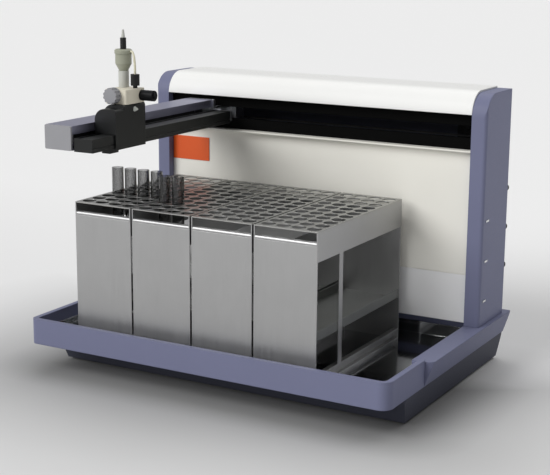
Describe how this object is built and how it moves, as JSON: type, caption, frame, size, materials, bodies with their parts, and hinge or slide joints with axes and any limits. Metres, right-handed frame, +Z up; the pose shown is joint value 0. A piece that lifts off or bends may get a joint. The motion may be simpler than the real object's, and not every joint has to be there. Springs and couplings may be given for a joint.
{
  "type": "fraction collector",
  "caption": "Bench-top fraction collector: racks of test tubes in a drip tray under an arm that travels on two axes, with a drop head on its carriage.",
  "frame": {"origin": "middle of the whole outline, on the bench", "axes": "+X to the right along the hood, +Y to the back, +Z up"},
  "size_m": [0.4748, 0.387, 0.406],
  "materials": {
    "painted_body": "satin",
    "painted_dark": "satin",
    "white_hood": "satin",
    "cream_panel": "satin",
    "orange_plate": "gloss",
    "black_plastic": "matte",
    "grey_plastic": "satin",
    "cream_plastic": "satin",
    "khaki_plastic": "satin",
    "clear_tubing": "gloss",
    "lamp_plastic": "gloss",
    "anodised": "satin anodised",
    "aluminium": "satin",
    "sheet_steel": "brushed",
    "polished_steel": "polished",
    "ground_steel": "ground",
    "black_steel": "satin",
    "rubber": "matte",
    "tube_glass": "clear"
  },
  "bodies": {
    "machine": {"base_plinth": "painted_dark", "feet": "rubber", "rear_body": "painted_body", "tray_frame": "painted_body", "drip_pan": "polished_steel", "left_column": "painted_body", "right_column": "painted_body", "hood": "white_hood", "slot_cover": "black_plastic", "back_panel": "cream_panel", "lower_back_panel": "polished_steel", "rear_cover": "painted_dark", "blank_plate": "orange_plate", "side_clips": "ground_steel", "rear_thumb_screws": "black_steel", "x_guide_rods": "ground_steel", "x_motor": "black_steel", "x_idler_bracket": "aluminium", "x_belt": "rubber"},
    "rack_1": {"rack_1_frame": "sheet_steel", "rack_1_top": "sheet_steel", "rack_1_shelf": "sheet_steel", "rack_1_tubes": "tube_glass"},
    "rack_2": {"rack_2_frame": "sheet_steel", "rack_2_top": "sheet_steel", "rack_2_shelf": "sheet_steel", "rack_2_tubes": "tube_glass"},
    "rack_3": {"rack_3_frame": "sheet_steel", "rack_3_top": "sheet_steel", "rack_3_shelf": "sheet_steel"},
    "rack_4": {"rack_4_frame": "sheet_steel", "rack_4_top": "sheet_steel", "rack_4_shelf": "sheet_steel"},
    "arm": {"arm_slider": "aluminium", "arm_beam": "anodised", "beam_end_cap": "grey_plastic", "carriage_guide": "ground_steel", "track": "black_plastic", "y_belt": "rubber", "y_pulley_pins": "ground_steel"},
    "carriage": {"carriage_body": "black_plastic", "nozzle": "ground_steel", "valve_block": "cream_plastic", "solenoid": "black_steel", "side_fitting": "black_plastic", "sight_tube": "grey_plastic", "drop_cup": "khaki_plastic", "cup_nut": "black_plastic", "inlet_tip": "grey_plastic", "feed_tube": "clear_tubing", "side_lamp": "lamp_plastic"},
    "knob": {"valve_knob": "grey_plastic"},
    "x_drive": {"x_drive_pulley": "aluminium"},
    "x_idler": {"x_idler_pulley": "aluminium"},
    "y_drive": {"y_drive_pulley": "aluminium"},
    "y_idler": {"y_idler_pulley": "aluminium"}
  },
  "joints": [
    {"name": "arm_slide", "type": "slide", "parent": "machine", "child": "arm", "axis": [1, 0, 0], "range_m": [-0.0535, 0.325]},
    {"name": "carriage_slide", "type": "slide", "parent": "arm", "child": "carriage", "axis": [0, 1, 0], "range_m": [-0.04, 0.186]},
    {"name": "rack_1_lift", "type": "slide", "parent": "machine", "child": "rack_1", "axis": [0, 0, 1], "range_m": [0, 0.03]},
    {"name": "rack_2_lift", "type": "slide", "parent": "machine", "child": "rack_2", "axis": [0, 0, 1], "range_m": [0, 0.03]},
    {"name": "rack_3_lift", "type": "slide", "parent": "machine", "child": "rack_3", "axis": [0, 0, 1], "range_m": [0, 0.03]},
    {"name": "rack_4_lift", "type": "slide", "parent": "machine", "child": "rack_4", "axis": [0, 0, 1], "range_m": [0, 0.03]},
    {"name": "x_drive_spin", "type": "hinge", "parent": "machine", "child": "x_drive", "pos_m": [0.1909, 0.1465, 0.2915], "axis": [0, -1, 0], "range_deg": [-297.6, 1807.88]},
    {"name": "x_idler_spin", "type": "hinge", "parent": "machine", "child": "x_idler", "pos_m": [-0.1826, 0.1465, 0.2915], "axis": [0, -1, 0], "range_deg": [-297.6, 1807.88]},
    {"name": "y_drive_spin", "type": "hinge", "parent": "arm", "child": "y_drive", "pos_m": [-0.14975, 0.0637, 0.2945], "axis": [0, 0, 1], "range_deg": [-313.95, 1459.87]},
    {"name": "y_idler_spin", "type": "hinge", "parent": "arm", "child": "y_idler", "pos_m": [-0.14975, -0.1763, 0.2945], "axis": [0, 0, 1], "range_deg": [-313.95, 1459.87]},
    {"name": "knob_turn", "type": "hinge", "parent": "carriage", "child": "knob", "pos_m": [-0.1186, -0.1359, 0.3356], "axis": [0, -1, 0], "range_deg": [0, 90]}
  ],
  "couplings": [
    {"joint": "x_drive_spin", "follows": "arm_slide", "rad_per_m": 97.087},
    {"joint": "x_idler_spin", "follows": "arm_slide", "rad_per_m": 97.087},
    {"joint": "y_drive_spin", "follows": "carriage_slide", "rad_per_m": 136.99},
    {"joint": "y_idler_spin", "follows": "carriage_slide", "rad_per_m": 136.99}
  ]
}
